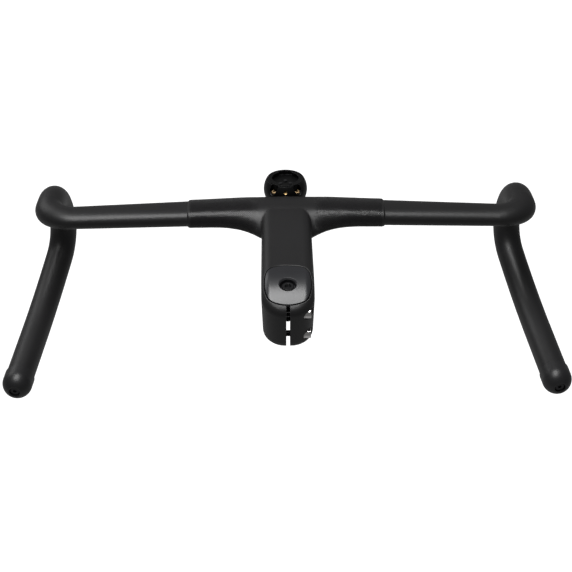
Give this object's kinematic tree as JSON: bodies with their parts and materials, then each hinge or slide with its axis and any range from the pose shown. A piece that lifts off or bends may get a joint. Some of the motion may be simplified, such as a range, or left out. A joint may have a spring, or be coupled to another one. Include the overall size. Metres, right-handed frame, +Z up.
{
  "type": "handlebar stem",
  "caption": "Drop handlebar and stem moulded in one, in black carbon, with flattened tops, curved drops, a split steerer clamp and a round computer mount.",
  "frame": {"origin": "on the steerer clamp's axis, in the clamp's bottom face", "axes": "+Z up the steerer axis, +Y forward, +X to the rider's right"},
  "size_m": [0.489, 0.2229, 0.145],
  "materials": {
    "carbon": "satin",
    "dark_metal": "satin",
    "black_steel": "satin",
    "bright_steel": "brushed",
    "plug_plastic": "satin",
    "soft_rubber": "matte",
    "light_metal": "satin",
    "mount_plastic": "matte",
    "brass_metal": "satin"
  },
  "bodies": {
    "root": {"handlebar_stem": "carbon", "top_cap": "dark_metal", "top_cap_bolt": "black_steel", "pinch_bolt_lower": "bright_steel", "pinch_bolt_upper": "bright_steel", "pinch_washer_lower": "bright_steel", "pinch_washer_upper": "bright_steel", "pinch_insert_lower": "bright_steel", "pinch_insert_upper": "bright_steel", "end_plug_right": "plug_plastic", "end_plug_left": "plug_plastic", "plug_sleeve_right": "soft_rubber", "plug_sleeve_left": "soft_rubber", "plug_nut_right": "light_metal", "plug_nut_left": "light_metal", "plug_bolt_right": "black_steel", "plug_bolt_left": "black_steel", "computer_mount": "mount_plastic", "computer_socket": "mount_plastic", "socket_screws": "black_steel", "rear_screws": "brass_metal", "rear_insert": "brass_metal", "mount_bolts": "black_steel", "mount_inserts": "bright_steel"}
  },
  "joints": []
}
